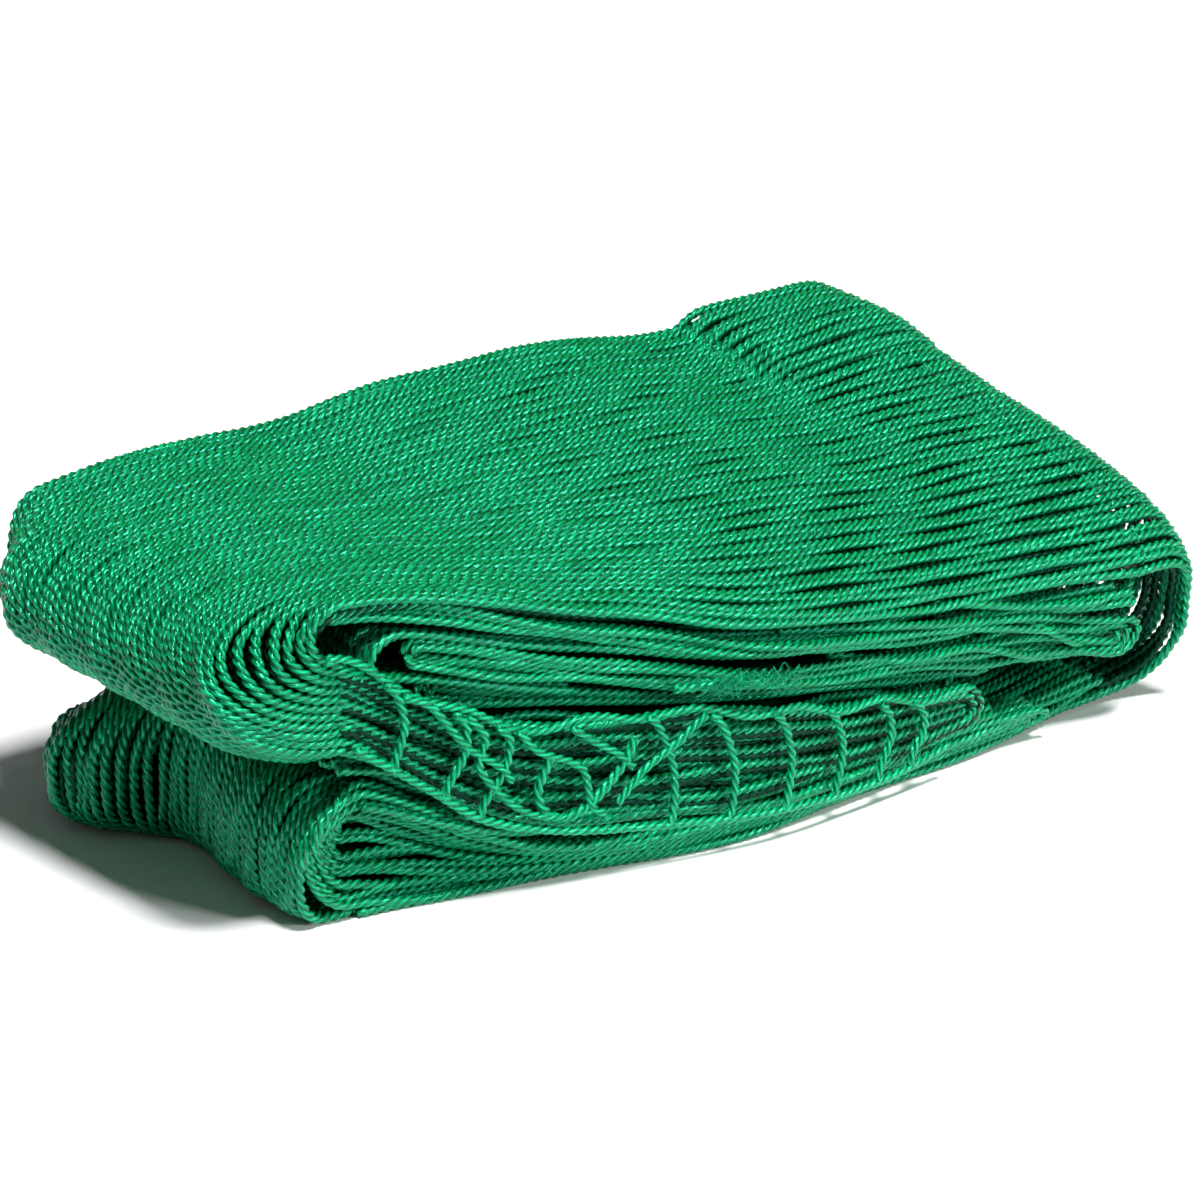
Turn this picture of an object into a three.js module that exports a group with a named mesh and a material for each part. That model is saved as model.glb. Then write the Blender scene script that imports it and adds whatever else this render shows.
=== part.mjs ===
// A folded bundle of knotted twine netting for a tennis net: all meshes pulled shut, so that the twines
// lie side by side, and the ribbon of twines folded to and fro in laps on top of each other.
// Millimetres, +Z up, +X along the twines, -Y the side where the selvedge shows.
// The origin is under the middle of the bundle, on the surface that it lies on.
// Each lap and each fold is one closed solid with the lap's true outer shape.
import * as THREE from "three";

// Driving dimensions
const TWINE = 2.9; // twine diameter
const GAP = 1.2; // clear space between two laps
const PLY = 5.5; // thickness of the outermost ply of twines
const LEFT = -132; // where the laps end and the left folds begin
const RIGHT = 150; // where the laps end and the loose right end begins
const BACK = 83; // the straight back edge
const DRAPE = 0.42; // how fast the laps rise from the front edge, as a power of the way back
const ROLL_REACH = 33; // how far the upper left roll stands out past LEFT
const LOOP_REACH = 22; // how far the loose right end stands out past RIGHT
const SPLIT_Z = 30; // height at which the right end parts into an upper and a lower half
const FRONT_ROLL_SHARE = 0.56; // the lower left roll is two humps: the front one ends here
const END_GAP = 0.4; // half the clear space between the end of a lap and its fold
const LOOP_INNER = 0.82; // inside of the loose right end, as a share of its outside
const FACE_CLEAR = 3; // how far the selvedge twines' middles lie in front of the laps
const BAR_CLEAR = 0.4; // clear space between a bar and the border twine
const BAR_BOW = 3; // how far a bar bows to the right in its middle
const CENTRE = { x: 3.5, y: -3.2 }; // the bundle's own middle before it is moved over the origin

const COLOURS = { net: 0x0f9a5a, shade: 0x0b7d49, cord: 0x18a866 };

// A line through a few [x, value] points, level beyond both ends.
function profile(...points) {
  return (x) => {
    if (x <= points[0][0]) return points[0][1];
    for (let i = 1; i < points.length; i++) {
      const [xa, a] = points[i - 1];
      const [xb, b] = points[i];
      if (x <= xb) return THREE.MathUtils.lerp(a, b, (x - xa) / (xb - xa));
    }
    return points[points.length - 1][1];
  };
}

// The front edge of the bundle, seen from above, bulges in the middle.
const frontEdge = profile([-130, -62], [-65, -74], [0, -85], [60, -80], [110, -78], [150, -84], [172, -88]);

// Height of each lap's upper face along the front edge and along the back edge.
const LEVELS = {
  floor: [profile([118, 0], [172, 7]), profile([118, 0], [172, 7])],
  bottomLap: [profile([-120, 13], [0, 9], [118, 9], [172, 14]), profile([-120, 14], [118, 12], [172, 15])],
  lowerLap: [
    profile([-128, 44], [-97, 29], [-66, 19], [-20, 14], [60, 13], [118, 13]),
    profile([-128, 46], [-60, 43], [0, 38], [60, 30], [118, 24]),
  ],
  middleLap: [
    profile([-128, 63], [-97, 55], [-66, 50], [-20, 43], [22, 36], [60, 29], [90, 24]),
    profile([-128, 60], [0, 55], [90, 42]),
  ],
  innerLower: [
    profile([-118, 74], [-66, 57], [-20, 48], [22, 40], [60, 34], [100, 27], [150, 25]),
    profile([-118, 68], [0, 66], [150, 58]),
  ],
  innerUpper: [
    profile([-118, 84], [-93, 77], [-66, 68], [-20, 56], [22, 47.5], [60, 42], [100, 38], [150, 36]),
    profile([-118, 79], [150, 78]),
  ],
  mouth: [
    profile([-132, 88], [-110, 86], [-93, 81], [-66, 72], [-38, 64.5], [-16, 58.5], [22, 50], [60, 44], [100, 40], [150, 38]),
    profile([-132, 81], [150, 80]),
  ],
  top: [
    profile([-132, 96], [-110, 94], [-93, 89], [-66, 80], [-38, 73], [-16, 66], [22, 58], [60, 52], [100, 48], [150, 46]),
    profile([-132, 96], [30, 100], [60, 99], [98, 93], [110, 97], [150, 98]),
  ],
};

// Height of a level at x, and at a share v of the way from the front edge to the back edge.
function level(name, x, v) {
  const [front, back] = LEVELS[name];
  return THREE.MathUtils.lerp(front(x), back(x), Math.pow(Math.max(v, 0), DRAPE));
}

// Depth at x and v.
function depth(x, v) {
  return THREE.MathUtils.lerp(frontEdge(x), BACK, v);
}

const bundle = new THREE.Group();

function addMesh(name, geometry, colour) {
  const material = new THREE.MeshStandardMaterial({ color: colour, roughness: 0.55, metalness: 0 });
  const mesh = new THREE.Mesh(geometry, material);
  mesh.name = name;
  bundle.add(mesh);
}

// Bends a finely divided box: shape(a, v, c) gives the place of each point of the box, where a runs along
// the twines, v from front to back and c through the thickness, each from 0 to 1.
function bentBox(name, along, across, shape, colour) {
  const geometry = new THREE.BoxGeometry(1, 1, 1, along, across, 1);
  const position = geometry.getAttribute("position");
  for (let i = 0; i < position.count; i++) {
    const s = position.getY(i) + 0.5;
    const p = shape(position.getX(i) + 0.5, s, position.getZ(i) + 0.5);
    position.setXYZ(i, ...p);
  }
  addMesh(name, geometry, colour);
}

// Stations from front to back lie closer together near the front, where the laps are steep.
const ease = (s, v0, v1) => THREE.MathUtils.lerp(v0, v1, Math.pow(s, 1.7));

// A flat lap between two levels.
function lap(name, x0, x1, low, high, colour = COLOURS.net, v0 = 0, v1 = 1) {
  bentBox(name, 16, 8, (a, s, c) => {
    const x = THREE.MathUtils.lerp(x0, x1, a);
    const v = ease(s, v0, v1);
    return [x, depth(x, v), THREE.MathUtils.lerp(low(x, v), high(x, v), c)];
  }, colour);
}

const above = (name, extra = 0) => (x, v) => level(name, x, v) + GAP / 2 + extra;
const below = (name, extra = 0) => (x, v) => level(name, x, v) - GAP / 2 + extra;

// A fold: the laps turn round at x0 in part of an ellipse that stands out by reach. side is -1 at the left
// end and 1 at the right end. inner and outer are shares of the ellipse, from its middle to its outside.
// from and to are the angles where it starts and ends, -90 degrees at the bottom and 90 at the top.
function fold(name, side, x0, reach, low, high, inner, outer, options = {}) {
  const { v0 = 0, v1 = 1, from = () => -90, to = () => 90, colour = COLOURS.net, steps = 9 } = options;
  bentBox(name, steps, 6, (a, s, c) => {
    const v = ease(s, v0, v1);
    const start = typeof x0 === "function" ? x0(v) : x0;
    const out = typeof reach === "function" ? reach(v) : reach;
    const lowZ = low(start, v);
    const highZ = high(start, v);
    const ratio = THREE.MathUtils.lerp(inner, outer, side > 0 ? 1 - c : c);
    const angle = THREE.MathUtils.degToRad(THREE.MathUtils.lerp(from(v), to(v), a));
    const flip = side > 0 ? 1 : -1;
    const half = (highZ - lowZ) / 2;
    const x = start + flip * out * ratio * Math.cos(angle);
    const z = lowZ + half + half * ratio * Math.sin(angle);
    return [x, depth(start, v), z];
  }, colour);
}

// A round cord through a few points.
function cord(name, points, steps, colour = COLOURS.cord) {
  const path = new THREE.CatmullRomCurve3(points.map((p) => new THREE.Vector3(...p)));
  const section = new THREE.Shape();
  const sides = 8;
  for (let i = 0; i < sides; i++) {
    const t = (i / sides) * 2 * Math.PI;
    const corner = [(TWINE / 2) * Math.cos(t), (TWINE / 2) * Math.sin(t)];
    if (i === 0) section.moveTo(...corner);
    else section.lineTo(...corner);
  }
  addMesh(name, new THREE.ExtrudeGeometry(section, { steps, extrudePath: path, bevelEnabled: false }), colour);
}

// A cord that lies on the front face, a little in front of the edge; spots are [x, z].
const onFace = (spots) => spots.map(([x, z]) => [x, frontEdge(x) - FACE_CLEAR, z]);

// --- Lower packet: lies on the surface ---
const lowStart = LEFT + 8;
const endCap = { from: () => -90, to: () => 90 };
lap("bottom_lap", lowStart + END_GAP, RIGHT - END_GAP, (x, v) => level("floor", x, v), below("bottomLap"));
lap("lower_inner_lap", lowStart + END_GAP, 96, above("bottomLap"), below("lowerLap"), COLOURS.shade);
fold("lower_inner_fold", 1, 96 + END_GAP, 9, above("bottomLap"), below("lowerLap"), 0.3, 1, endCap);

const floorAt = (x, v) => level("floor", x, v);
const frontHump = { v0: 0, v1: FRONT_ROLL_SHARE - 0.01 };
const rearHump = { v0: FRONT_ROLL_SHARE + 0.01, v1: 1 };
fold("lower_front_roll", -1, lowStart - END_GAP, 19, floorAt, below("lowerLap"), 0.64, 1, frontHump);
fold("lower_front_roll_core", -1, lowStart - END_GAP, 19, floorAt, below("lowerLap"), 0.12, 0.58, frontHump);
fold("lower_rear_roll", -1, lowStart - END_GAP, 31, floorAt, below("lowerLap"), 0.7, 1, rearHump);
fold("lower_rear_roll_core", -1, lowStart - END_GAP, 31, floorAt, below("lowerLap"), 0.2, 0.6, rearHump);

// --- Upper packet: lifts off the lower packet ---
lap("middle_lap", LEFT + END_GAP, 80, above("lowerLap"), below("middleLap"), COLOURS.shade);
fold("middle_right_fold", 1, 80 + END_GAP, 11, above("lowerLap"), below("middleLap"), 0.3, 1, endCap);
lap("inner_lap_lower", -116, 92, above("middleLap"), below("innerLower"));
fold("inner_lower_fold", 1, 92 + END_GAP, 8, above("middleLap"), below("innerLower"), 0.3, 1, endCap);
lap("inner_lap_upper", -116, 142, above("innerLower"), below("innerUpper"), COLOURS.shade);
fold("inner_left_fold", -1, -116 - END_GAP, 10, above("middleLap"), below("innerUpper"), 0.35, 1, endCap);
fold("inner_right_tongue", 1, 142 + END_GAP, 12, above("innerLower"), below("innerUpper"), 0.3, 1, endCap);
lap("top_lap_inner", LEFT + END_GAP, RIGHT - 4, above("mouth"), below("top", -PLY), COLOURS.shade);
lap("top_lap_outer", LEFT + END_GAP, RIGHT - END_GAP, above("top", -PLY), (x, v) => level("top", x, v));
const onTop = (extra) => (x, v) => level("top", x, v) + extra;
lap("back_flap", 112, 148, onTop(GAP), onTop(GAP + 2.2), COLOURS.net, 0.72, 1);

const topAt = (x, v) => level("top", x, v);
fold("upper_roll_outer", -1, LEFT - END_GAP, ROLL_REACH, above("lowerLap"), topAt, 0.72, 1, { steps: 12 });
fold("upper_roll_inner", -1, LEFT - END_GAP, ROLL_REACH, above("lowerLap"), topAt, 0.4, 0.68, { steps: 12 });

// --- Right end: the outermost ply turns down in a loose loop, parted where the bundle opens ---
const splitAngle = (v) => {
  const low = level("floor", RIGHT, v);
  const half = (level("top", RIGHT, v) - low) / 2;
  return THREE.MathUtils.radToDeg(Math.asin((SPLIT_Z - low - half) / half));
};
const upperHalf = { from: (v) => splitAngle(v) + 1, to: () => 90, steps: 8 };
const lowerHalf = { from: () => -90, to: (v) => splitAngle(v) - 1, steps: 8 };
fold("right_end_upper", 1, RIGHT + END_GAP, LOOP_REACH, floorAt, topAt, LOOP_INNER, 1, upperHalf);
fold("right_end_lower", 1, RIGHT + END_GAP, LOOP_REACH, floorAt, topAt, LOOP_INNER, 1, lowerHalf);

// --- Selvedge on the front of the middle lap ---
const upperBorder = [
  [-139, 84], [-120, 71], [-97, 57], [-78, 48], [-62, 49], [-40, 47], [-19, 43.5], [3, 39], [22, 35], [50, 30], [78, 25],
];
const lowerBorder = [
  [-130, 54], [-107, 37], [-92, 26], [-70, 18.5], [-45, 14.5], [-15, 11], [6, 9.5], [28, 8], [50, 8], [70, 11],
];
cord("upper_selvedge_cord", onFace(upperBorder), 40);
cord("lower_selvedge_cord", onFace(lowerBorder), 36);

// Open edge meshes: each mesh side hangs across from the upper to the lower border. Each row holds the
// bar's x at the top and at the bottom.
const barPlaces = [[-119, -118], [-99, -103], [-86, -92], [-40, -34], [-20, -15], [1, 4], [22, 24], [44, 42], [58, 56]];
const upperBorderZ = profile(...upperBorder);
const lowerBorderZ = profile(...lowerBorder);
barPlaces.forEach(([topX, bottomX], i) => {
  const topZ = upperBorderZ(topX) - TWINE - BAR_CLEAR;
  const bottomZ = lowerBorderZ(bottomX) + TWINE + BAR_CLEAR;
  const middle = [(topX + bottomX) / 2 + BAR_BOW, (topZ + bottomZ) / 2];
  cord(`edge_mesh_bar_${i + 1}`, onFace([[topX, topZ], middle, [bottomX, bottomZ]]), 6);
});
cord("frayed_twine_end", onFace([[-34, 53.2], [-18, 52.4], [0, 49.4]]), 8);

// --- Loose loop: one edge mesh that hangs slack on the front ---
cord("loose_loop", onFace([[-72, 41], [-76, 31], [-73, 24], [-66, 22], [-58, 26], [-50, 34], [-46, 41]]), 20);

bundle.position.set(-CENTRE.x, -CENTRE.y, 0);
export default bundle;
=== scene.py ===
# %% [markdown]
# # A folded bundle of tennis net netting
# A tennis net's netting is one big sheet of mesh, made of laid polyethylene twine. Pulled shut, its
# meshes close and all twines lie side by side like the strings of a harp. The sheet is then folded
# to and fro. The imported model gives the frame: closed solids for each lap and fold. This script
# draws the twines that those solids stand for.

import math

import bmesh
import bpy
import numpy as np
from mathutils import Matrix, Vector


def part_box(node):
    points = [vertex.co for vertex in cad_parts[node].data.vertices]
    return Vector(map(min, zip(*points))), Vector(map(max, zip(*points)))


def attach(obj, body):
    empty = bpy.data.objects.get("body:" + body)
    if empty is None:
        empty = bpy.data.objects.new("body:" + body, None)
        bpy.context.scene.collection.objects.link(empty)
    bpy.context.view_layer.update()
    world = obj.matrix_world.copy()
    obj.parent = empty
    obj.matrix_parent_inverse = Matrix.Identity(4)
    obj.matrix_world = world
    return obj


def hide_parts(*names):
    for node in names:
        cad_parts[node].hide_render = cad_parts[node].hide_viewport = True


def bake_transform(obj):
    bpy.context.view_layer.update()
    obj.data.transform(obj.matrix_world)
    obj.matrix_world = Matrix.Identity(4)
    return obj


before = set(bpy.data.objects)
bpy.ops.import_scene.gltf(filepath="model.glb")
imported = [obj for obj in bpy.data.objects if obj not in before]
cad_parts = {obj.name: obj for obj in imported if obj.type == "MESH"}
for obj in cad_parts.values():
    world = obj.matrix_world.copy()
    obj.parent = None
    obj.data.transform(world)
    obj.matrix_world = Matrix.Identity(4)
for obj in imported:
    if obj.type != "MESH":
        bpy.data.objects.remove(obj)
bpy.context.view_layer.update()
print("frame loaded:", len(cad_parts), "nodes")

# %% [markdown]
# ## Sizes and the shape of the laps
# The laps aren't flat plates: they climb steeply from the front edge and then run nearly level to
# the back. Two things describe that: how deep the bundle is at each place along it, and how high
# each lap lies at its front edge and at its back edge. Everything is in millimetres here, and
# becomes metres once, when a curve is made.

# %% Sizes in millimetres
TWINE = 2.9  # diameter of the laid twine
R = TWINE / 2
BEAD = 3.1  # distance between two strands on the twine's surface
LAY = 3 * BEAD  # one full turn of a strand
MESH_SIDE = 42.0  # from knot to knot
LEFT, RIGHT, BACK = -132.0, 150.0, 83.0  # start of the rolls, start of the loose bend, back edge
LOW_LEFT = LEFT + 8
ROLL_REACH = 35.5  # how far the upper roll stands out to the left
LOOP_REACH = 22.5  # how far the loose bend stands out to the right
DRAPE = 0.42  # how soon a lap levels out behind its front edge
GAP = 1.2  # between two laps that lie on each other
FINE_STEP, STEP, EDGE_STEP, WIDE_STEP = 1.0, 1.2, 1.3, 1.6  # between the points of a path
SOLID_GAP = 0.4  # the top lap's solid stops this far short of the roll
FULL_TURN = 2 * math.pi
rng = np.random.default_rng(7)

low_corner, high_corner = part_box("top_lap_outer")
SHIFT = np.array([low_corner.x * 1000 - (LEFT + SOLID_GAP), high_corner.y * 1000 - BACK, 0.0])
print("shift from the lap's own frame, mm:", SHIFT.round(2))

# %% Smooth profiles
SMOOTHING = (-12, -6, 0, 6, 12)  # a profile is averaged over these offsets, so its corners go


def profile(*points):
    xs, values = np.array(points, float).T

    def value(x):
        x = np.asarray(x, float)
        return sum(np.interp(x + d, xs, values) for d in SMOOTHING) / len(SMOOTHING)

    return value


def lerp(a, b, t):
    return a + (b - a) * t


def smooth(t):
    t = np.clip(t, 0, 1)
    return t * t * (3 - 2 * t)


print("a profile is averaged over", SMOOTHING[-1] - SMOOTHING[0], "mm")

# %% Front edges and back edge, seen from above
floor_edge = profile(
    (-130, -57), (-104, -61), (-66, -69.5), (-26, -80), (9, -82), (38, -78), (88, -76),
    (116, -71), (144, -67), (170, -68),
)
front_edge = profile(
    (-130, -62), (-65, -74), (0, -85), (60, -80), (110, -78), (150, -84), (172, -88)
)


def depth(x, v):
    return lerp(front_edge(x), BACK, v)


def floor_depth(x, v):
    return lerp(floor_edge(x), BACK, v)


print("depth at the middle, mm:", round(BACK - float(front_edge(0)), 1))

# %% Heights of the lower laps: the front edge, then the back edge
LEVELS = {
    "floor": (profile((118, 0), (172, 3)), profile((118, 0), (172, 5))),
    "bottom_lap": (
        profile((-120, 13), (0, 9), (118, 9), (172, 14)),
        profile((-120, 14), (118, 12), (172, 15)),
    ),
    "lower_lap": (
        profile((-128, 44), (-97, 29), (-66, 19), (-20, 14), (60, 13), (118, 13)),
        profile((-128, 46), (-60, 43), (0, 38), (60, 30), (118, 24)),
    ),
    "middle_lap": (
        profile((-128, 63), (-97, 55), (-66, 50), (-20, 43), (22, 36), (60, 29), (90, 24)),
        profile((-128, 60), (0, 55), (90, 42)),
    ),
}
print("lower laps:", list(LEVELS))

# %% Heights of the upper laps
LEVELS["inner_lower"] = (
    profile((-118, 74), (-66, 57), (-20, 48), (22, 40), (60, 34), (100, 25), (150, 21)),
    profile((-118, 68), (0, 66), (150, 58)),
)
LEVELS["inner_upper"] = (
    profile(
        (-118, 84), (-93, 77), (-66, 68), (-20, 56), (22, 47.5), (60, 42), (100, 39), (150, 38)
    ),
    profile((-118, 79), (150, 78)),
)
LEVELS["mouth"] = (
    profile(
        (-132, 88), (-110, 86), (-93, 81), (-66, 72), (-38, 64.5), (-16, 58.5), (22, 50),
        (60, 44), (100, 40), (150, 38),
    ),
    profile((-132, 81), (150, 80)),
)
LEVELS["top"] = (
    profile(
        (-132, 96), (-110, 94), (-93, 89), (-66, 80), (-38, 73), (-16, 66), (22, 58),
        (60, 52), (100, 48), (150, 46),
    ),
    profile(
        (-134, 91), (-124, 93), (-112, 95), (-84, 96), (-55, 95), (-42, 97), (-24, 99.5),
        (20, 101.5), (34, 102), (60, 100.5), (96, 95), (110, 98), (150, 99),
    ),
)


def level(name, x, v):
    front, back = LEVELS[name]
    return lerp(front(x), back(x), np.maximum(v, 0) ** DRAPE)


print("top lap at the middle, mm:", [round(float(level("top", 0, v)), 1) for v in (0, 0.5, 1)])

# %% [markdown]
# ## Even spacing over a curved lap
# Twines lie evenly over the cloth, and not evenly seen from above: near the front edge, where the
# lap is steep, many of them share a few millimetres of depth. So a twine is placed by its share of
# the way over the surface, and this table turns that share into a share of the depth.

# %% Share of the surface to share of the depth
TABLE_STEP = 4.0
X_TABLE = np.arange(-140.0, 178.0, TABLE_STEP)
V_FINE = np.linspace(0, 1, 90) ** 1.8
SHARES = 60
S_TABLE = np.linspace(0, 1, SHARES + 1)


def spread_table(name):
    rows = []
    for x in X_TABLE:
        y, z = depth(x, V_FINE), level(name, x, V_FINE)
        run = np.concatenate([[0], np.cumsum(np.hypot(np.diff(y), np.diff(z)))])
        rows.append(np.interp(S_TABLE, run / run[-1], V_FINE))
    return np.array(rows)


TABLES = {name: spread_table(name) for name in ("top", "lower_lap", "bottom_lap")}
print("spread tables:", list(TABLES))


# %% Reading the table
def share_to_v(name, x, s):
    x = np.broadcast_to(np.asarray(x, float), np.broadcast(x, s).shape)
    s = np.clip(np.broadcast_to(np.asarray(s, float), x.shape), 0, 1)
    i = np.clip((x - X_TABLE[0]) / TABLE_STEP, 0, len(X_TABLE) - 1.001)
    j = np.clip(s * SHARES, 0, SHARES - 0.001)
    a, b = i.astype(int), j.astype(int)
    p, q = i - a, j - b
    t = TABLES[name]
    near = t[a, b] * (1 - p) + t[a + 1, b] * p
    far = t[a, b + 1] * (1 - p) + t[a + 1, b + 1] * p
    return near * (1 - q) + far * q


print("half of the top's surface is at depth", round(float(share_to_v("top", 0.0, 0.5)), 2))

# %% [markdown]
# ## The twine itself
# Laid twine is three strands twisted round each other. A curve with a three-lobed section, turned a
# little further at each point, gives just that: the lobes wind round the middle and show on the
# side as a row of slanting beads. Blender's curve does the sweep, so there is no list of faces to
# work out. The twine has a left-hand lay, so the turn is negative.


# %% Sections of the twine
def section(name, sides, peak, valley):
    curve = bpy.data.curves.new(name, "CURVE")
    spline = curve.splines.new("POLY")
    spline.points.add(sides - 1)
    for k in range(sides):
        angle = FULL_TURN * k / sides
        share = (1 + math.cos(3 * angle)) / 2
        r = lerp(valley, peak, share**0.8) / 1000
        spline.points[k].co = (r * math.cos(angle), r * math.sin(angle), 0, 1)
    spline.use_cyclic_u = True
    shape = bpy.data.objects.new(name, curve)
    bpy.context.scene.collection.objects.link(shape)
    return shape


FINE = section("twine_section_fine", 12, 1.08 * R, 0.56 * R)
COARSE = section("twine_section_coarse", 6, 1.04 * R, 0.66 * R)
print("sections: 12 and 6 sides")


# %% Even points along a path
def even(points, step):
    points = np.asarray(points, float)
    gaps = np.linalg.norm(np.diff(points, axis=0), axis=1)
    keep = np.concatenate([[True], gaps > 1e-6])
    points = points[keep]
    along = np.concatenate([[0], np.cumsum(np.linalg.norm(np.diff(points, axis=0), axis=1))])
    n = max(int(round(along[-1] / step)), 2)
    at = np.linspace(0, along[-1], n + 1)
    return np.stack([np.interp(at, along, points[:, k]) for k in range(3)], axis=1), at


print("a 10 mm path gets", len(even([(0, 0, 0), (10, 0, 0)], BEAD / 3)[1]), "points")

# %% [markdown]
# ## Coordinates that follow the twine
# The fibres of the plastic run along each twine, wherever it bends. So each point keeps two things
# for the material: "laid", its place along and around its own twine as if that were pulled
# straight, and "crown", which is 1 on top of a strand and 0 in the groove between two. The
# material uses "crown" to paint shade into the grooves.

# %% One twine: a spline, and what the material reads
TWINE_APART = (137.0, 11.0)  # moves each twine's pattern away from its neighbour's


def lay_twine(curve, run, number, sides, step, scale):
    points, along = even(run, step)
    n = len(points)
    spline = curve.splines.new("POLY")
    spline.points.add(n - 1)
    flat = np.ones((n, 4), np.float32)
    flat[:, :3] = (points + SHIFT) / 1000
    spline.points.foreach_set("co", flat.ravel())
    start = rng.uniform(0, FULL_TURN)
    tilt = start - FULL_TURN * along / LAY
    spline.points.foreach_set("tilt", tilt.astype(np.float32))
    uneven = 0.035 * np.sin(along / 7.3 + start * 3) + 0.02 * np.sin(along / 2.9 + start)
    spline.points.foreach_set("radius", (scale * (1 + uneven)).astype(np.float32))
    turn = 2 * np.pi * np.arange(sides) / sides
    laid = np.zeros((n, sides, 3))
    laid[:, :, 0] = along[:, None] + TWINE_APART[0] * number
    laid[:, :, 1] = R * np.cos(turn)[None]
    laid[:, :, 2] = R * np.sin(turn)[None] + TWINE_APART[1] * number
    return laid.reshape(-1, 3), np.tile((1 + np.cos(3 * turn)) / 2, n)


print("one strand turn every", round(LAY, 1), "mm")


# %% A swept mesh with closed ends
def swept_mesh(name, curve, laid, crown):
    paths = bpy.data.objects.new(name + "_paths", curve)
    bpy.context.scene.collection.objects.link(paths)
    bpy.context.view_layer.update()
    swept = paths.evaluated_get(bpy.context.evaluated_depsgraph_get())
    mesh = bpy.data.meshes.new_from_object(swept)
    mesh.name = name
    bpy.data.objects.remove(paths)
    attribute = mesh.attributes.new("laid", "FLOAT_VECTOR", "POINT")
    attribute.data.foreach_set("vector", np.concatenate(laid).astype(np.float32).ravel())
    attribute = mesh.attributes.new("crown", "FLOAT", "POINT")
    attribute.data.foreach_set("value", np.concatenate(crown).astype(np.float32))
    while mesh.uv_layers:
        mesh.uv_layers.remove(mesh.uv_layers[0])
    ends = bmesh.new()
    ends.from_mesh(mesh)
    bmesh.ops.holes_fill(ends, edges=[e for e in ends.edges if e.is_boundary], sides=0)
    ends.to_mesh(mesh)
    ends.free()
    mesh.polygons.foreach_set("use_smooth", np.ones(len(mesh.polygons), bool))
    return mesh


print("each twine's two ends are filled, so every piece is closed")


# %% From runs of points to a piece of netting
def twines(
    name, runs, body, material, shape=None, step=BEAD / 3, scale=1.0,
    blend=None, nodes=(),
):
    shape = shape or FINE
    sides = len(shape.data.splines[0].points)
    curve = bpy.data.curves.new(name + "_paths", "CURVE")
    curve.dimensions = "3D"
    curve.twist_mode = "MINIMUM"
    curve.bevel_mode = "OBJECT"
    curve.bevel_object = shape
    laid, crown = zip(*[lay_twine(curve, run, k, sides, step, scale) for k, run in enumerate(runs)])
    mesh = swept_mesh(name, curve, laid, crown)
    mesh.materials.clear()
    mesh.materials.append(material)
    piece = bpy.data.objects.new(name, mesh)
    bpy.context.scene.collection.objects.link(piece)
    if blend:
        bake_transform(piece)
    else:
        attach(piece, body)
    if nodes:
        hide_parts(*nodes)
    mesh.calc_loop_triangles()
    print(f"{name}: {len(runs)} twines, {len(mesh.loop_triangles)} triangles")
    return piece


# %% [markdown]
# ## Polyethylene twine
# High-density polyethylene, drawn to flat filaments and laid: a satin to glossy plastic, whose fine
# filaments give each strand bright streaks along its length. The green is a pigment in the plastic;
# the grooves between the strands are darkened in the colour as painted shade, and a strand shows
# mint where it catches the light. IOR 1.54. The filaments are about 0.1 mm wide; the streaks are
# drawn four times as wide, so that they show.


# %% Colour and node helpers
def srgb(code):
    values = [int(code[i : i + 2], 16) / 255 for i in (1, 3, 5)]
    return [v / 12.92 if v <= 0.04045 else ((v + 0.055) / 1.055) ** 2.4 for v in values] + [1]


def add(tree, kind, settings=None, links=None, **values):
    node = tree.nodes.new(kind)
    for key, value in (settings or {}).items():
        setattr(node, key, value)
    for key, value in values.items():
        node.inputs[key.replace("_", " ")].default_value = value
    for key, source in (links or {}).items():
        tree.links.new(source, node.inputs[key])
    return node


print("pigment green, linear:", [round(v, 3) for v in srgb("#008549")[:3]])


# %% Colour: streaks of filaments, slow patches and painted shade in the grooves
def twine_colour(tree, fibres, laid, deep, base, bright):
    drift = add(
        tree, "ShaderNodeMapping", {}, {"Vector": laid.outputs["Vector"]}, Scale=(0.03, 0.2, 0.2)
    )
    patches = add(
        tree, "ShaderNodeTexNoise", {}, {"Vector": drift.outputs["Vector"]}, Scale=1.0, Detail=2.0
    )
    ramp = add(tree, "ShaderNodeValToRGB", {}, {"Fac": fibres.outputs["Fac"]})
    ramp.color_ramp.elements[0].position = 0.3
    ramp.color_ramp.elements[0].color = srgb(deep)
    ramp.color_ramp.elements[1].position = 0.74
    ramp.color_ramp.elements[1].color = srgb(bright)
    middle = ramp.color_ramp.elements.new(0.52)
    middle.color = srgb(base)
    tone = add(
        tree, "ShaderNodeMapRange", {}, {"Value": patches.outputs["Fac"]},
        From_Min=0.3, From_Max=0.7, To_Min=0.86, To_Max=1.12,
    )
    shade = add(
        tree, "ShaderNodeHueSaturation", {},
        {"Color": ramp.outputs["Color"], "Value": tone.outputs["Result"]},
    )
    # Painted shade: the colour is multiplied down in the grooves between strands, to 14 percent at
    # a groove's bottom.
    crown = add(tree, "ShaderNodeAttribute", {"attribute_name": "crown"})
    groove_shade = add(
        tree, "ShaderNodeMapRange", {}, {"Value": crown.outputs["Fac"]}, From_Max=0.85, To_Min=0.14
    )
    return add(
        tree, "ShaderNodeMix", {"data_type": "RGBA", "blend_type": "MULTIPLY"},
        {"A": shade.outputs["Color"], "B": groove_shade.outputs["Result"]}, Factor=1.0,
    ).outputs["Result"]


print("a groove keeps 14 percent of a strand's colour")


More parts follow.
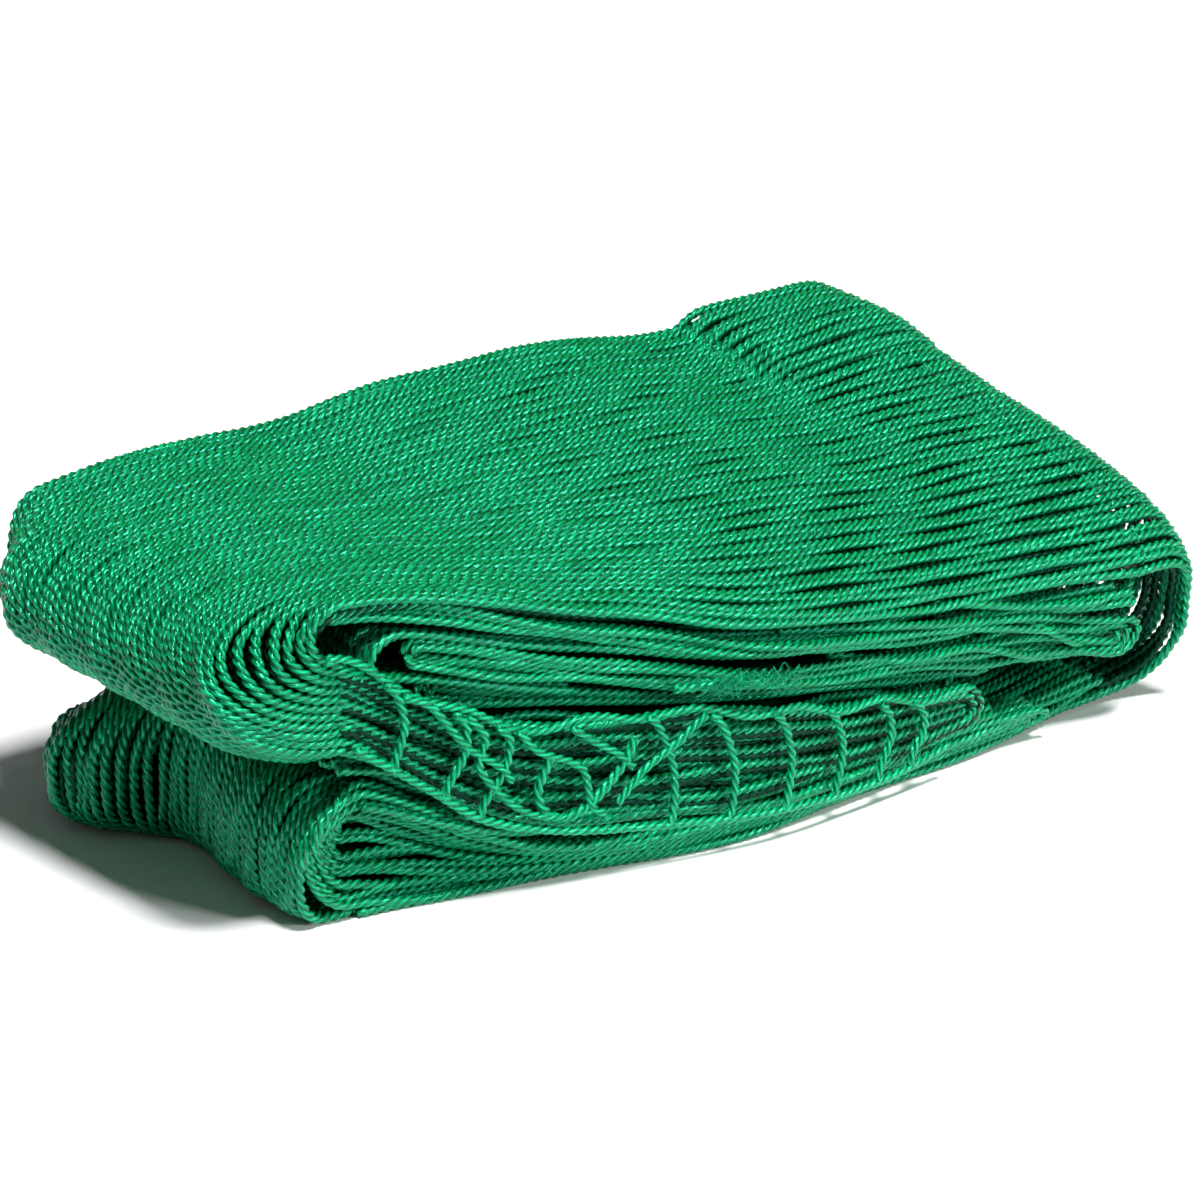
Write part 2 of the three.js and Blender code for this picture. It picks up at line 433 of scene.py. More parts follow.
# %% The twine's material
def twine_material(name, deep, base, bright, gleam=1.0):
    material = bpy.data.materials.new(name)
    material.use_nodes = True
    tree = material.node_tree
    tree.nodes.clear()
    laid = add(tree, "ShaderNodeAttribute", {"attribute_name": "laid"})
    stretch = add(
        tree, "ShaderNodeMapping", {}, {"Vector": laid.outputs["Vector"]}, Scale=(0.35, 2.6, 2.6)
    )
    fibres = add(
        tree, "ShaderNodeTexNoise", {}, {"Vector": stretch.outputs["Vector"]},
        Scale=1.0, Detail=3.0, Roughness=0.6,
    )
    colour = twine_colour(tree, fibres, laid, deep, base, bright)
    bump = add(
        tree, "ShaderNodeBump", {}, {"Height": fibres.outputs["Fac"]}, Strength=0.55,
        Distance=0.0004,
    )
    gloss = add(
        tree, "ShaderNodeMapRange", {}, {"Value": fibres.outputs["Fac"]}, To_Min=0.25, To_Max=0.07
    )
    surface = add(
        tree, "ShaderNodeBsdfPrincipled", {},
        {
            "Base Color": colour,
            "Normal": bump.outputs["Normal"],
            "Roughness": gloss.outputs["Result"],
        },
        IOR=1.54, Specular_IOR_Level=gleam, Specular_Tint=(0.11, 1.0, 0.7, 1.0),
    )
    add(tree, "ShaderNodeOutputMaterial", {}, {"Surface": surface.outputs["BSDF"]})
    print("material:", name)
    return material


# %% Four tones of twine; the dark inner one is the same twine in painted shade
NET = twine_material("laid_polyethylene_twine", "#004d22", "#008549", "#00c486")
SINGLE = twine_material("laid_polyethylene_single_twine", "#006432", "#00985a", "#00c88c")
# Painted shade: the plies under the outermost one get a much darker, less glossy copy of the
# twine's colour.
SHADED_TWINE = twine_material(
    "laid_polyethylene_twine_in_painted_shade", "#001607", "#002b12", "#004423", gleam=0.25
)

# %% [markdown]
# ## Waves and drifts
# In a sheet pulled shut, two neighbouring twines touch at a knot, part, and touch again at the next
# knot. So each twine swings from side to side once every two mesh sides, opposite to its neighbour,
# and the gaps between them are long and pointed. A slower, random drift makes the gaps uneven.

# %% Waves of the mesh
COUNT = 52  # twines in one ply
FAMILY = 0.21  # this share of the twines turns on to the front face
phase = np.cumsum(rng.normal(4.0, 8.0, COUNT + 1))


def wave(i, at, amount):
    turn = math.pi * (at - phase[i % (COUNT + 1)]) / MESH_SIDE + math.pi * i
    swing = np.arcsin(0.96 * np.sin(turn)) / 1.287
    return amount * swing


print("a twine swings once every", 2 * MESH_SIDE, "mm")

# %% Slow drifts
DRIFT_CELL = 30.0
knots = rng.normal(0, 1, (24, 12))


def drift(i, at, size):
    a = np.clip(np.asarray(at, float) / DRIFT_CELL + 6, 0, 22.99)
    b = min(i / COUNT * 11, 10.99)
    k, m = a.astype(int), int(b)
    p, q = smooth(a - k), b - m
    near = knots[k, m] * (1 - p) * (1 - q) + knots[k + 1, m] * p * (1 - q)
    grid = near + knots[k, m + 1] * (1 - p) * q + knots[k + 1, m + 1] * p * q
    return size * grid


def looseness(x):
    return lerp(0.75, 1.9, smooth((x + 120) / 230))


print("gaps at the right are", round(float(looseness(110) / looseness(-120)), 1), "times as wide")

# %% [markdown]
# ## The outermost ply
# One ply of 52 twines covers the upper packet. Each starts at the loose right end, runs over the
# top and turns round the roll at the left. The front ones come back on the front face. They turn in
# ever smaller bends, so that they leave a pointed mouth between the top and the front face.

# %% Borders of the front face
upper_border = profile(
    (-139, 84), (-120, 71), (-97, 57), (-78, 48), (-62, 49), (-40, 47), (-19, 43.5), (3, 39),
    (22, 35), (50, 30), (78, 25),
)
LOWER_SPOTS = [
    (-130, 54), (-107, 37), (-92, 26), (-70, 18.5), (-45, 14.5), (-15, 11), (6, 9.5), (28, 8),
    (50, 8), (70, 11),
]
lower_border = profile(*LOWER_SPOTS)
FACE_END = 80  # where the front face turns back
print("front face at the left end, mm high:", round(float(upper_border(LEFT) - lower_border(LEFT))))


# %% A point of the top, and a twine's way along the front face
def top_point(x, s, sink):
    v = share_to_v("top", x, s)
    y, z = depth(x, v), level("top", x, v)
    swell = np.sin(np.pi * np.clip((v - 0.5) / 0.48, 0, 1))
    z = z + 2.5 * smooth((x - 105) / 40) * swell
    v2 = np.minimum(v + 0.004, 1.0)
    v1 = np.maximum(v2 - 0.008, 0.0)
    dy, dz = depth(x, v2) - depth(x, v1), level("top", x, v2) - level("top", x, v1)
    size = np.hypot(dy, dz)
    return np.stack([x, y + sink * dz / size, z - sink * dy / size], axis=-1)


def face_run(share, i):
    x = np.arange(LEFT, FACE_END, STEP)
    top, foot = upper_border(x), lower_border(x)
    z = lerp(top, foot, np.clip(share + 0.03 * np.sin(x / 11 + 2 * i), 0, 1))
    z = z + 0.7 * wave(i + 3, x, 1.0)
    y = front_edge(x) + R + 0.6 + 0.7 * np.sin(x / 13 + i * 2.2)
    z = np.clip(z, foot + 0.6, top - 0.6)
    pitch = (top - foot) / (FAMILY * COUNT)
    # Where the face gets too low for all twines, every second one lies behind its neighbour.
    y = y + 2.8 * (i % 2) * smooth((3.2 - pitch) / 0.5) * smooth((x - LEFT) / 20)
    end = np.radians(np.linspace(90 if share < 0.5 else -90, 0, 14))
    z_mid = (float(upper_border(FACE_END)) + float(lower_border(FACE_END))) / 2
    half = abs(z[-1] - z_mid)
    reach = 9 * abs(1 - 2 * share)
    arc = np.stack(
        [FACE_END + reach * np.cos(end), np.full(14, y[-1]), z_mid + half * np.sin(end)], axis=-1
    )
    return np.concatenate([np.stack([x, y, z], axis=-1), arc])


print("face runs end at x", FACE_END, "mm")


# %% Where a twine leaves the roll again
def roll_foot(s0, sink):
    share = min(s0 / FAMILY, 1.0)
    if share < 1:
        height = lerp(float(upper_border(LEFT)), float(lower_border(LEFT)), share)
        return height, float(front_edge(LEFT)) + sink + 0.6
    v_low = (s0 - FAMILY) / (1 - FAMILY)
    under = float(level("lower_lap", LEFT, v_low)) + GAP / 2 + sink
    height = lerp(float(lower_border(LEFT)), under, smooth((s0 - FAMILY) / 0.1))
    return height, float(depth(LEFT, v_low)) + sink * (1 - v_low)


print("the front twine leaves the roll", round(roll_foot(0.01, R)[0]), "mm up")


# %% One whole twine: the top, the roll and the front face
def outer_run(i, count, sink=R, amount=0.17, shift=0.5):
    s0 = (i + shift) / count
    x = np.arange(RIGHT, LEFT - 0.1, -STEP)
    s = s0 + (wave(i, x, amount) * looseness(x) + drift(i, x, 0.12)) / count
    s = np.clip(s, 0.004, 0.996)
    over = top_point(x, s, sink + 0.35 * (1 + np.sin(x / 9.0 + 2.1 * i)) * 0.5)
    v = float(share_to_v("top", LEFT, s[-1]))
    share = min(s0 / FAMILY, 1.0)
    reach = lerp(10, ROLL_REACH, smooth(share * 1.25)) - sink
    reach = lerp(reach, 14 - sink, smooth((v - 0.78) / 0.22))
    y_top, z_top = over[-1, 1], over[-1, 2]
    z_low, y_low = roll_foot(s0, sink)
    angle = np.radians(np.linspace(90, -90, 70))[1:]
    mid, half = (z_top + z_low) / 2, (z_top - z_low) / 2
    t = (1 - np.sin(angle)) / 2
    bulge = 1.0 + 0.02 * np.sin(3 * angle + i)
    tuck = lerp(1.35, 1.8, smooth((s0 - 0.3) / 0.5))
    out = np.cos(angle) ** np.where(angle > 0, 0.9, tuck)
    y = lerp(y_top, y_low, smooth(t)) + 0.5 * np.sin(5 * angle + i * 1.3)
    round_roll = np.stack([LEFT - reach * out * bulge, y, mid + half * np.sin(angle)], axis=-1)
    parts = [over, round_roll]
    if share < 1:
        parts.append(face_run(share, i)[1:])
    return np.concatenate(parts)


print("points of the first twine:", len(outer_run(0, COUNT)))


# %% The outermost ply, in three pieces
top_runs = [outer_run(i, COUNT) for i in range(COUNT)]
twines(
    "top_ply_front", top_runs[:14], "upper_packet", NET,
    nodes=["top_lap_outer", "upper_roll_outer"],
)
twines("top_ply_middle", top_runs[14:33], "upper_packet", NET)
twines("top_ply_back", top_runs[33:], "upper_packet", NET)

# %% [markdown]
# ## The flap, the second ply and the underside
# At the back right a short fold lies on top and makes a step. Under the outermost ply lies a second
# one. It shows only in the gaps, in a dark green that is painted shade, so its twines have six
# sides and longer steps. The underside of the upper packet shows when the bundle is opened.

# %% The flap at the back right
FLAP_END = 92


def flap_run(i):
    x = np.arange(RIGHT, FLAP_END, -STEP)
    s = 0.7 + 0.02 * i + (wave(i + 5, x, 0.3) + drift(i, x, 0.2)) / COUNT
    over = top_point(x, np.clip(s, 0, 0.994), -2.6)
    over[:, 2] -= 8.0 * (1 - smooth((x - FLAP_END) / 20)) + 2.0 * smooth((4 - i) / 4)
    angle = np.radians(np.linspace(20, 89, 24))
    out, down = np.cos(angle) ** 0.55, 1 - np.sin(angle) ** 0.55
    bend = [RIGHT + LOOP_REACH * out, np.full(24, over[0, 1]), over[0, 2] - 46 * down]
    return np.concatenate([np.stack(bend, axis=-1), over])


twines(
    "back_flap_ply", [flap_run(i) for i in range(15)], "upper_packet", NET, nodes=["back_flap"]
)

# %% The second ply
under_runs = [
    outer_run(i, COUNT - 1, sink=R + 2.4, amount=-0.1, shift=1.0) for i in range(COUNT - 2)
]
twines(
    "second_ply_front", under_runs[:18], "upper_packet", SHADED_TWINE, shape=COARSE,
    nodes=["top_lap_inner", "upper_roll_inner"],
)
twines("second_ply_back", under_runs[18:], "upper_packet", SHADED_TWINE, shape=COARSE, step=BEAD / 2)


# %% The underside of the upper packet
def lap_course(name, i, count, v_start, x, lift):
    v = np.clip(v_start + (wave(i, x, 0.3) + drift(i, x, 0.3)) / count, 0.01, 0.99)
    return np.stack([x, depth(x, v), level(name, x, v) + lift], axis=-1)


def under_run(i, count):
    s0 = FAMILY + (1 - FAMILY) * (i + 0.5) / count
    v_start = (s0 - FAMILY) / (1 - FAMILY)
    low_x = np.arange(LEFT + 1, 78, WIDE_STEP)
    low = lap_course("lower_lap", i, count, v_start, low_x, GAP / 2 + R)
    high = lap_course("inner_lower", i, count, v_start, np.arange(88, 138, WIDE_STEP), R)
    return np.concatenate([low, high])


twines(
    "underside_ply", [under_run(i, 38) for i in range(1, 38)], "upper_packet", NET,
    shape=COARSE, step=BEAD / 2,
)

# %% [markdown]
# ## The loose right end and the bottom lap
# At the right the ply turns down in a wide loose bend and comes back under the bundle. When the
# bundle is opened, this bend is what gives way, so it is fixed to neither packet.


# %% A squarish bend
def square_bend(angle, above, below):
    power = np.where(angle > 0, above, below)
    return np.abs(np.cos(angle)) ** power, np.sign(angle) * np.abs(np.sin(angle)) ** power


print("power 1 is round; at power 0.5 a point at 45 degrees is", round(0.5**0.25, 2), "out")


# %% One twine of the loop and of the bottom lap
def loop_run(i, count, sink, amount, shift=0.5):
    s0 = (i + shift) / count
    s = float(np.clip(s0 + (wave(i, RIGHT, amount) + drift(i, RIGHT, 0.18)) / count, 0.004, 0.996))
    start = top_point(np.array([RIGHT]), np.array([s]), sink)[0]
    v_low = float(share_to_v("bottom_lap", RIGHT, s0))
    z_low = float(level("floor", RIGHT, v_low)) + sink
    y_low = float(floor_depth(RIGHT, v_low))
    angle = np.radians(np.linspace(90, -90, 80))
    mid, half = (start[2] + z_low) / 2, (start[2] - z_low) / 2
    t = (1 - np.sin(angle)) / 2
    at = RIGHT + 45 * (1 - np.sin(angle))
    out, up = square_bend(angle, 0.45, 0.85)
    sway = 4.0 * (wave(i, at, amount * 1.3) - wave(i, RIGHT, amount * 1.3))
    y = lerp(start[1], y_low, t**2.6) + sway
    arc = np.stack([RIGHT + (LOOP_REACH - sink) * out, y, mid + half * up], axis=-1)
    x = np.arange(RIGHT - 1, LOW_LEFT, -STEP)
    v = np.clip(share_to_v("bottom_lap", x, s0 + wave(i, x, 0.16) / count), 0.006, 0.994)
    inside = sink * (1 - 2 * v)
    low = np.stack([x, floor_depth(x, v) + inside, level("floor", x, v) + sink], axis=-1)
    return np.concatenate([arc, low[:1]]), low


# %% The right loop and the bottom ply
SPLIT = [tuple((np.array([168, 0, z]) + SHIFT) / 1000) for z in (18, 40)]
loops, lows = zip(*[loop_run(i, COUNT, R, 0.17) for i in range(COUNT)])
twines(
    "right_loop", loops, None, NET, blend=SPLIT, nodes=["right_end_upper", "right_end_lower"]
)
twines("bottom_ply", lows, "lower_packet", NET, shape=COARSE, nodes=["bottom_lap"])

# %% The upper side of the bottom lap, which shows at the right
COVERS = 40
covers = []
for i in range(COVERS):
    x = np.arange(88, 147, WIDE_STEP)
    s = (i + 0.7 + wave(i, x, 0.25) + drift(i, x, 0.25)) / (COVERS + 1)
    v = np.clip(share_to_v("bottom_lap", x, s), 0.01, 0.99)
    covers.append(np.stack([x, floor_depth(x, v), level("bottom_lap", x, v) - R], axis=-1))
twines("bottom_lap_cover_ply", covers, "lower_packet", NET, shape=COARSE)

# %% The inner turns of the right loop
inner_loops, _ = zip(*[loop_run(i, COUNT // 2, R + 2.6, 0.2, 0.3) for i in range(COUNT // 2)])
# Painted shade: the inner turns take the dark copy of the twine material.
twines("right_loop_inner", inner_loops, None, SHADED_TWINE, shape=COARSE, blend=SPLIT)

# %% [markdown]
# ## The lower packet
# It lies on the surface. At the left it turns round in two humps, and at the front its plies wind
# round a hollow like the end of a rolled towel.


# %% Shape of the lower packet
def low_point(x, s, sink):
    v = share_to_v("lower_lap", x, s)
    back_corner = 23 * smooth((v - 0.66) / 0.36) * smooth((-84 - x) / 40)
    front_corner = 5.5 * smooth((x + 138) / 16) * smooth((-50 - x) / 36) * (1 - smooth(v / 0.3))
    z = level("lower_lap", x, v) - sink - 0.6 - (back_corner + front_corner)
    return np.stack([x, depth(x, v) + sink * (1 - 2 * v), z], axis=-1)


def hump(v):
    places = [0, 0.12, 0.22, 0.35, 0.45, 0.55, 0.64, 0.74, 0.85, 0.95, 1]
    return np.interp(v, places, [18, 20, 19, 15, 10, 11, 24, 33, 25, 14, 10])


print("front hump and rear hump, mm:", float(hump(0.12)), float(hump(0.74)))


# %% One twine of the lower packet
def low_run(i, count, sink=R, shift=0.5):
    s0 = (i + shift) / count
    x = np.arange(96.0, LOW_LEFT - 0.1, -STEP)
    s = np.clip(s0 + (wave(i, x, 0.2) + drift(i, x, 0.2)) / count, 0.004, 0.996)
    over = low_point(x, s, sink)
    v = float(share_to_v("lower_lap", LOW_LEFT, s0))
    reach = float(hump(v)) - sink
    v_low = float(share_to_v("bottom_lap", LOW_LEFT, s0))
    y_low = float(floor_depth(LOW_LEFT, v_low)) + sink * (1 - 2 * v_low)
    angle = np.radians(np.linspace(90, -90, 60))[1:]
    mid, half = (over[-1, 2] + sink) / 2, (over[-1, 2] - sink) / 2
    t = (1 - np.sin(angle)) / 2
    out, up = square_bend(angle, 0.95, 0.5)
    uneven = 1 + 0.04 * np.sin(2.5 * angle + i)
    y = lerp(over[-1, 1], y_low, smooth(t)) + 0.8 * np.sin(4 * angle + i * 1.7) * np.cos(angle)
    return over, np.stack([LOW_LEFT - reach * out * uneven, y, mid + half * up], axis=-1)


# %% The roll, its inner turns and the top of the lower packet
overs, arcs = zip(*[low_run(i, COUNT) for i in range(COUNT)])
twines(
    "lower_roll", arcs[1:], "lower_packet", NET, nodes=["lower_front_roll", "lower_rear_roll"]
)
low_tops = [np.concatenate([over, arc[:1]]) for over, arc in zip(overs, arcs)]
twines(
    "lower_top_ply", low_tops, "lower_packet", NET, shape=COARSE, step=BEAD / 2,
    nodes=["lower_inner_lap", "lower_inner_fold"],
)
_, inner_arcs = zip(*[low_run(i, COUNT - 5, R + 2.7, 0.9) for i in range(3, COUNT - 5)])
# Painted shade: the inner turns of the roll take the dark copy of the twine material.
twines(
    "lower_roll_inner", inner_arcs, "lower_packet", SHADED_TWINE, shape=COARSE,
    nodes=["lower_front_roll_core", "lower_rear_roll_core"],
)

# %% [markdown]
# ## Edges of the laps
# On the front and on the back the laps show their edges: twines stacked on each other, which turn
# round in nested bends where a lap ends. One function makes such a stack, with or without bends at
# its ends. Where the stack gets too low for all its twines, some of them lie further back.

# %% A bend at the end of a stacked twine
RANDOM_TURN = 6.28


def stack_end(line, end, reach, low_z, high_z, centre, f, rim):
    own = (reach - R) * rim
    zc = lerp(low_z, high_z, centre)
    half = abs(line[end, 2] - zc)
    n = max(int((own + half) / 0.9), 6)
    angle = np.radians(np.linspace(90 if f > centre else -90, 0, n))[1:]
    sign = -1 if end == 0 else 1
    x = line[end, 0] + sign * own * np.cos(angle)
    return np.stack([x, np.full(n - 1, line[end, 1]), zc + half * np.sin(angle)], axis=-1)


print("a stack's outermost twine makes the widest bend, its middle one the narrowest")


# %% Stacks of edge twines
def stack(
    low, high, x0, x1, lines, v=0.0, left=0.0, right=0.0, inset=R, dish=0.0, crowd=3.0, seed=0,
    centre=0.5, foot=0.0, taper=1.0, sway=0.0,
):
    local = np.random.default_rng(seed)
    side = 1 if v < 0.5 else -1
    runs = []
    for j in range(lines):
        f = (j + 0.5) / lines
        x = np.arange(x0, x1 + 0.1, EDGE_STEP)
        share = f + 0.42 / lines * np.sin(x / local.uniform(9, 16) + local.uniform(0, RANDOM_TURN))
        share = share + 0.38 / lines * wave(j, x, 1.0)
        share = share + sway / lines * np.sin(x / 21.0 + 1.3 * seed) * np.sin(np.pi * f)
        zl, zh = low(x), high(x)
        z = lerp(zl + R, zh - R, np.clip(share, 0, 1))
        back = np.clip((crowd - (zh - zl) / lines) / crowd, 0, 1) * 2.4 * (j % 3)
        rim = (f - centre) / (1 - centre) if f > centre else (centre - f) / centre
        hollow = dish * (1 - rim) * smooth((-48 - x) / 56)
        plan = lerp(depth(x, v), floor_depth(x, v), foot * (1 - taper * f))
        ripple = 0.8 * np.sin(x / local.uniform(12, 20) + local.uniform(0, RANDOM_TURN))
        line = np.stack([x, plan + side * (inset + back + hollow) + ripple, z], axis=-1)
        ends = [line]
        if left > 0:
            ends.insert(0, stack_end(line, 0, left, zl[0], zh[0], centre, f, rim)[::-1])
        if right > 0:
            ends.append(stack_end(line, -1, right, zl[-1], zh[-1], centre, f, rim))
        runs.append(np.concatenate(ends))
    return runs


def at(name, v, shift=0.0):
    return lambda x: level(name, x, v) + shift


print("floor to bottom lap at the front, mm:", round(float(at("bottom_lap", 0)(0)), 1))

# %% [markdown]
# ## The mouth and the inner laps
# Between the top and the front face one looks into a mouth. Two inner laps lie in it, one over the
# other, and end in a tongue at the right. A few twines have slipped and cross the others.


# %% A smooth line through a few spots
def through(points, step=FINE_STEP):
    points = np.asarray(points, float)
    before, after = 2 * points[:1] - points[1:2], 2 * points[-1:] - points[-2:-1]
    padded = np.concatenate([before, points, after])
    out = []
    for k in range(1, len(padded) - 2):
        p0, p1, p2, p3 = padded[k - 1 : k + 3]
        n = max(int(np.linalg.norm(p2 - p1) / step), 2)
        t = np.linspace(0, 1, n, endpoint=False)[:, None]
        bend = (2 * p0 - 5 * p1 + 4 * p2 - p3) * t**2 + (3 * p1 - p0 - 3 * p2 + p3) * t**3
        out.append(0.5 * ((2 * p1) + (p2 - p0) * t + bend))
    return np.concatenate(out + [padded[-2:-1]])


print("a line through 2 spots 10 mm apart:", len(through([(0, 0, 0), (10, 0, 0)])), "points")

# %% The edge of the mouth, with stray twines
STRAY = [
    [(-40, 66), (0, 58), (40, 50.5), (80, 44), (118, 35), (148, 28)],
    [(10, 58), (50, 52), (84, 45), (112, 40), (140, 31)],
    [(60, 55), (86, 50), (110, 44), (132, 41.5), (152, 42)],
    [(92, 47), (110, 38), (124, 30), (138, 25)],
    [(30, 46), (56, 40), (84, 37), (104, 30), (120, 24)],
]


def stray_run(spots):
    last = len(spots) - 1
    inside = [9.0 if k in (0, last) else 0.6 for k in range(len(spots))]
    return through([[x, float(front_edge(x)) + y, z] for (x, z), y in zip(spots, inside)])


front_upper = (
    stack(at("mouth", 0, -1.0), at("top", 0, -2.5), -134, 148, 4, inset=R + 0.8, seed=1)
    + stack(at("mouth", 0), at("top", 0, -2.5), -132, 148, 3, inset=R + 3.4, seed=2)
    + [stray_run(spots) for spots in STRAY]
)
twines("mouth_edge", front_upper, "upper_packet", NET, scale=0.9)

# %% Edges of the two inner laps
edge_low, edge_high, edge_foot = at("inner_lower", 0), at("inner_upper", 0), at("middle_lap", 0)
inner_front = (
    stack(
        edge_low, edge_high, -108, 142, 5, left=6, right=12, inset=R + 1.0, seed=3, crowd=3.2,
        sway=0.9,
    )
    + stack(
        edge_low, at("inner_upper", 0, -0.5), -104, 142, 4, left=4, right=9, inset=R + 4.2,
        seed=4, sway=0.9,
    )
    + stack(
        edge_foot, edge_low, -100, 92, 4, left=9, right=8, inset=R + 6.6, seed=5, sway=1.0
    )
    + stack(
        edge_foot, edge_low, -96, 92, 3, left=6, right=6, inset=R + 9.6, seed=6, sway=1.0
    )
)
print("inner laps:", len(inner_front), "edge twines")

# %% The fold at the left end of the inner laps
FOLD_END = -114


def fold_run(k):
    v = 0.012 + 0.021 * k
    upper_x, lower_x = np.arange(140, FOLD_END, -EDGE_STEP), np.arange(FOLD_END, -60, EDGE_STEP)

    def y_of(x):
        return depth(x, v + 0.004 * np.sin(x / 14 + k)) + R

    upper_z = level("inner_upper", upper_x, v) - 0.3 + 0.4 * np.sin(upper_x / 10 + 2 * k)
    over = np.stack([upper_x, y_of(upper_x), upper_z], axis=-1)
    lower_z = level("inner_lower", lower_x, v) - 2.0
    under = np.stack([lower_x, y_of(lower_x), lower_z], axis=-1)
    angle = np.radians(np.linspace(90, -90, 26))[1:-1]
    mid, half = (over[-1, 2] + under[0, 2]) / 2, (over[-1, 2] - under[0, 2]) / 2
    bend = [over[-1, 0] - 9 * np.cos(angle), np.full(24, over[-1, 1]), mid + half * np.sin(angle)]
    return np.concatenate([over, np.stack(bend, axis=-1), under])


twines(
    "inner_fold_plies", [fold_run(k) for k in range(12)], "upper_packet", NET, shape=COARSE
)

# %% The inner laps and the lap behind the selvedge
twines(
    "inner_laps_front", inner_front, "upper_packet", NET, scale=0.88,
    nodes=[
        "inner_lap_upper", "inner_lap_lower", "inner_lower_fold", "inner_left_fold",
        "inner_right_tongue",
    ],
)
middle_front = stack(
    at("lower_lap", 0), edge_foot, -130, 80, 7, left=0, right=11, inset=R + 6.4, seed=7
)
twines(
    "middle_lap_front", middle_front, "upper_packet", NET, shape=COARSE,
    nodes=["middle_lap", "middle_right_fold"],
)

# %% [markdown]
# ## The front of the lower packet
# Its edge twines wind round a hollow at the left, like the end of a rolled towel. The middle ones
# lie deeper than the outer ones, which gives the hollow its dish.

# %% The swirl and the edge of the bottom lap
on_floor = at("floor", 0.0)
low_top = profile(
    (-128, 44), (-114, 39), (-100, 27), (-86, 18), (-66, 12), (-30, 11), (60, 12), (118, 13)
)
swirl = {"dish": 11, "centre": 0.6, "foot": 1.0}
low_front = (
    stack(on_floor, low_top, -124, 112, 13, left=19, right=7, inset=R + 0.6, seed=8, **swirl)
    + stack(on_floor, low_top, -122, 112, 9, left=15, right=5, inset=R + 4.4, seed=9, **swirl)
)
twines("lower_front_edges", low_front, "lower_packet", NET, scale=0.92)
low_far = stack(
    on_floor, at("bottom_lap", 0), 108, 150, 3, inset=R, foot=1.0, taper=0.0, seed=10
)
twines("bottom_lap_edge", low_far, "lower_packet", NET)

# %% [markdown]
# ## The back
# The same stacks close the back, in two layers, so that no light shows between the laps. A folded
# net has no finished side there: the edges of its laps are all that one sees.

# %% Edges at the back
BACK_STACKS = [
    ("mouth", "top", LEFT, RIGHT, 6),
    ("inner_lower", "mouth", -116, 142, 5),
    ("middle_lap", "inner_lower", -114, 92, 3),
    ("lower_lap", "middle_lap", LEFT, 80, 5),
]
back_upper = []
for k, (low, high, x0, x1, lines) in enumerate(BACK_STACKS):
    ends = {"left": 8.0, "right": 8.0} if k else {}
    span = at(low, 1), at(high, 1), x0, x1, lines
    back_upper += stack(*span, v=1.0, seed=20 + k, inset=R, **ends)
    back_upper += stack(*span, v=1.0, seed=30 + k, inset=R + 2.6)
twines("upper_back_edges", back_upper, "upper_packet", NET, shape=COARSE)
back_lower = stack(at("floor", 1), at("bottom_lap", 1), -124, RIGHT, 4, v=1.0, seed=40)
back_lower += stack(
    at("bottom_lap", 1), at("lower_lap", 1, -1.0), -90, 96, 8, v=1.0, left=5, right=9, seed=41
)
twines("lower_back_edges", back_lower, "lower_packet", NET)

# %% [markdown]
# ## The selvedge
# The outermost row of meshes hangs open on the front: two border twines with single mesh sides
# across. They are the only twines that can be followed one by one, so each has its own spots.


# %% The two border twines
def on_face(spots, lift=3.0):
    return [[x, float(front_edge(x)) - lift, z] for x, z in spots]


upper_spots = [
    (x, float(upper_border(x)) + 1.3 * math.sin(x / 5.5)) for x in range(-138, 80, 7)
]
twines(
    "upper_border_twine", [through(on_face(upper_spots, 2.2))], "upper_packet", SINGLE,
    scale=0.85, nodes=["upper_selvedge_cord"],
)
twines(
    "lower_border_twine", [through(on_face(LOWER_SPOTS))], "upper_packet", SINGLE,
    scale=0.9, nodes=["lower_selvedge_cord"],
)

# %% Mesh sides across, each from its place above to its place below
BARS = [
    (-119, -118), (-99, -103), (-86, -92), (-40, -34), (-20, -15), (1, 4), (22, 24), (44, 42),
    (58, 56),
]
bars = []
for top_x, bottom_x in BARS:
    z1, z0 = float(upper_border(top_x)), float(lower_border(bottom_x))
    spots = [
        (top_x - 2, z1), (top_x + 1.5, z1 - 4), ((top_x + bottom_x) / 2 + 3, (z0 + z1) / 2),
        (bottom_x, z0 + 4), (bottom_x - 1.5, z0),
    ]
    bars.append(through(on_face(spots, 3.2)))
twines(
    "mesh_side_bars", bars, "upper_packet", SINGLE, scale=0.85,
    nodes=[f"edge_mesh_bar_{k}" for k in range(1, 10)],
)

# %% [markdown]
# ## The frayed twine
# One twine in the mouth is worn. Its laid strands have opened, and fine fibres curl off it. Each
# fibre is a twine at about an eighth of the thickness, through a few random spots.

# %% The frayed twine and its fibres
FIBRES = 46
frayed = through(on_face([(-34, 53.2), (-18, 52.4), (0, 49.4)], 3.0))
twines(
    "frayed_twine", [frayed], "upper_packet", SINGLE,
    nodes=["frayed_twine_end"],
)


def fibre():
    x0 = rng.uniform(-32, 4)
    z0 = float(lerp(53.4, 49.6, (x0 + 34) / 36))
    spots = [(x0 + 2.2 * j + rng.normal(0, 1.3), z0 + rng.normal(0, 1.6)) for j in range(5)]
    return through(on_face(spots, 3.6 + rng.uniform(0, 2.0)), step=0.5)


twines(
    "frayed_fibres", [fibre() for _ in range(FIBRES)], "upper_packet", SINGLE,
    shape=COARSE, scale=0.13, step=0.5,
)
